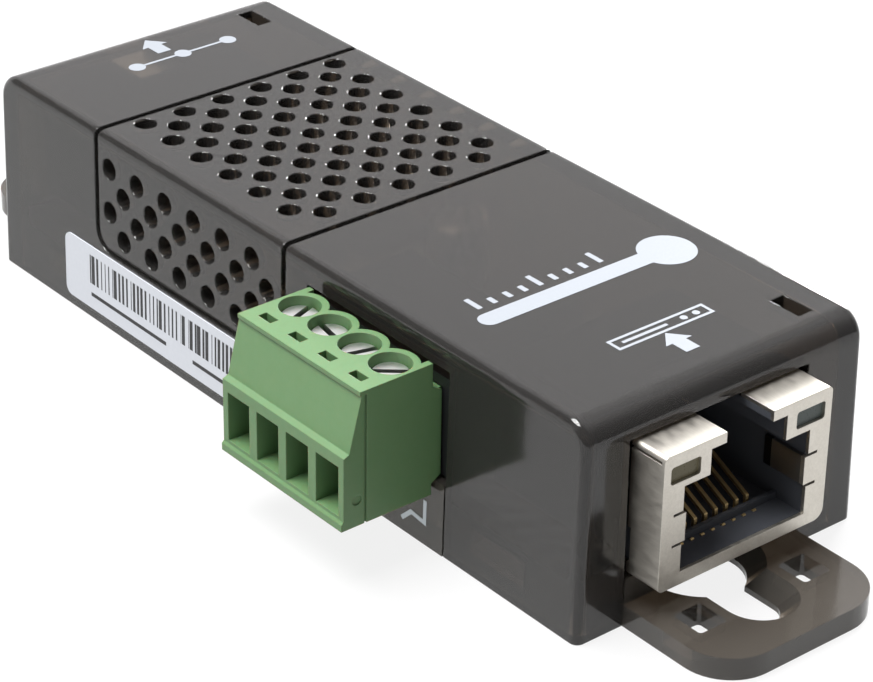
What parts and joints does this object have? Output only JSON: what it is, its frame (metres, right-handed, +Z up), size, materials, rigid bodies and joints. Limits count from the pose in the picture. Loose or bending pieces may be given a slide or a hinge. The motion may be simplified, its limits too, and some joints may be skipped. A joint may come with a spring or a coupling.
{
  "type": "rack temperature sensor",
  "caption": "Small vented sensor housing with a network jack at each end, a pluggable screw terminal on one side and a keyhole mounting tab at each end.",
  "frame": {"origin": "centre of the housing's underside", "axes": "+Z up, out of the vented top; +Y along the length, away from the front network jack; -X out of the screw terminal"},
  "size_m": [0.0358, 0.0936, 0.0174],
  "materials": {
    "smoke_plastic": "smoke-grey translucent polycarbonate, polished",
    "label_film": "white printed film",
    "board_laminate": "green solder mask",
    "chip_body": "black moulding compound",
    "can_aluminium": "drawn can",
    "plated_steel": "nickel plated sheet",
    "black_plastic": "glass-filled moulding",
    "green_plastic": "green moulding",
    "gold_wire": "gold plated spring wire",
    "lens_plastic": "clear light window, unlit",
    "tinned_brass": "tin plated",
    "zinc_steel": "zinc plated"
  },
  "bodies": {
    "sensor": {"top_cover": "smoke_plastic", "base_plate": "smoke_plastic", "side_label": "label_film", "circuit_board": "board_laminate", "climate_sensor": "chip_body", "controller_chip": "chip_body", "line_driver_chip": "chip_body", "regulator_chip": "chip_body", "storage_capacitor": "can_aluminium", "clock_crystal": "plated_steel", "terminal_header": "black_plastic", "front_jack_shield": "plated_steel", "front_jack_insert": "black_plastic", "front_jack_contacts": "gold_wire", "front_left_lens": "lens_plastic", "front_right_lens": "lens_plastic", "rear_jack_shield": "plated_steel", "rear_jack_insert": "black_plastic", "rear_jack_contacts": "gold_wire", "rear_left_lens": "lens_plastic", "rear_right_lens": "lens_plastic", "header_pin_1": "tinned_brass", "header_pin_2": "tinned_brass", "header_pin_3": "tinned_brass", "header_pin_4": "tinned_brass"},
    "plug": {"plug_housing": "green_plastic", "plug_contact_1": "tinned_brass", "plug_contact_2": "tinned_brass", "plug_contact_3": "tinned_brass", "plug_contact_4": "tinned_brass"},
    "screw_1": {"clamp_screw_1": "zinc_steel"},
    "cage_1": {"clamp_cage_1": "tinned_brass"},
    "screw_2": {"clamp_screw_2": "zinc_steel"},
    "cage_2": {"clamp_cage_2": "tinned_brass"},
    "screw_3": {"clamp_screw_3": "zinc_steel"},
    "cage_3": {"clamp_cage_3": "tinned_brass"},
    "screw_4": {"clamp_screw_4": "zinc_steel"},
    "cage_4": {"clamp_cage_4": "tinned_brass"}
  },
  "joints": [
    {"name": "plug_pull", "type": "slide", "parent": "sensor", "child": "plug", "axis": [-1, 0, 0], "range_m": [0, 0.008]},
    {"name": "screw_1_turn", "type": "hinge", "parent": "plug", "child": "screw_1", "pos_m": [-0.01625, -0.0085, 0.0138], "axis": [0, 0, 1], "range_deg": [-1440, 0]},
    {"name": "cage_1_rise", "type": "slide", "parent": "plug", "child": "cage_1", "axis": [0, 0, 1], "range_m": [0, 0.0017]},
    {"name": "screw_2_turn", "type": "hinge", "parent": "plug", "child": "screw_2", "pos_m": [-0.01625, -0.012, 0.0138], "axis": [0, 0, 1], "range_deg": [-1440, 0]},
    {"name": "cage_2_rise", "type": "slide", "parent": "plug", "child": "cage_2", "axis": [0, 0, 1], "range_m": [0, 0.0017]},
    {"name": "screw_3_turn", "type": "hinge", "parent": "plug", "child": "screw_3", "pos_m": [-0.01625, -0.0155, 0.0138], "axis": [0, 0, 1], "range_deg": [-1440, 0]},
    {"name": "cage_3_rise", "type": "slide", "parent": "plug", "child": "cage_3", "axis": [0, 0, 1], "range_m": [0, 0.0017]},
    {"name": "screw_4_turn", "type": "hinge", "parent": "plug", "child": "screw_4", "pos_m": [-0.01625, -0.019, 0.0138], "axis": [0, 0, 1], "range_deg": [-1440, 0]},
    {"name": "cage_4_rise", "type": "slide", "parent": "plug", "child": "cage_4", "axis": [0, 0, 1], "range_m": [0, 0.0017]}
  ],
  "couplings": [
    {"joint": "screw_1_turn", "follows": "cage_1_rise", "rad_per_m": -14784},
    {"joint": "screw_2_turn", "follows": "cage_2_rise", "rad_per_m": -14784},
    {"joint": "screw_3_turn", "follows": "cage_3_rise", "rad_per_m": -14784},
    {"joint": "screw_4_turn", "follows": "cage_4_rise", "rad_per_m": -14784}
  ]
}
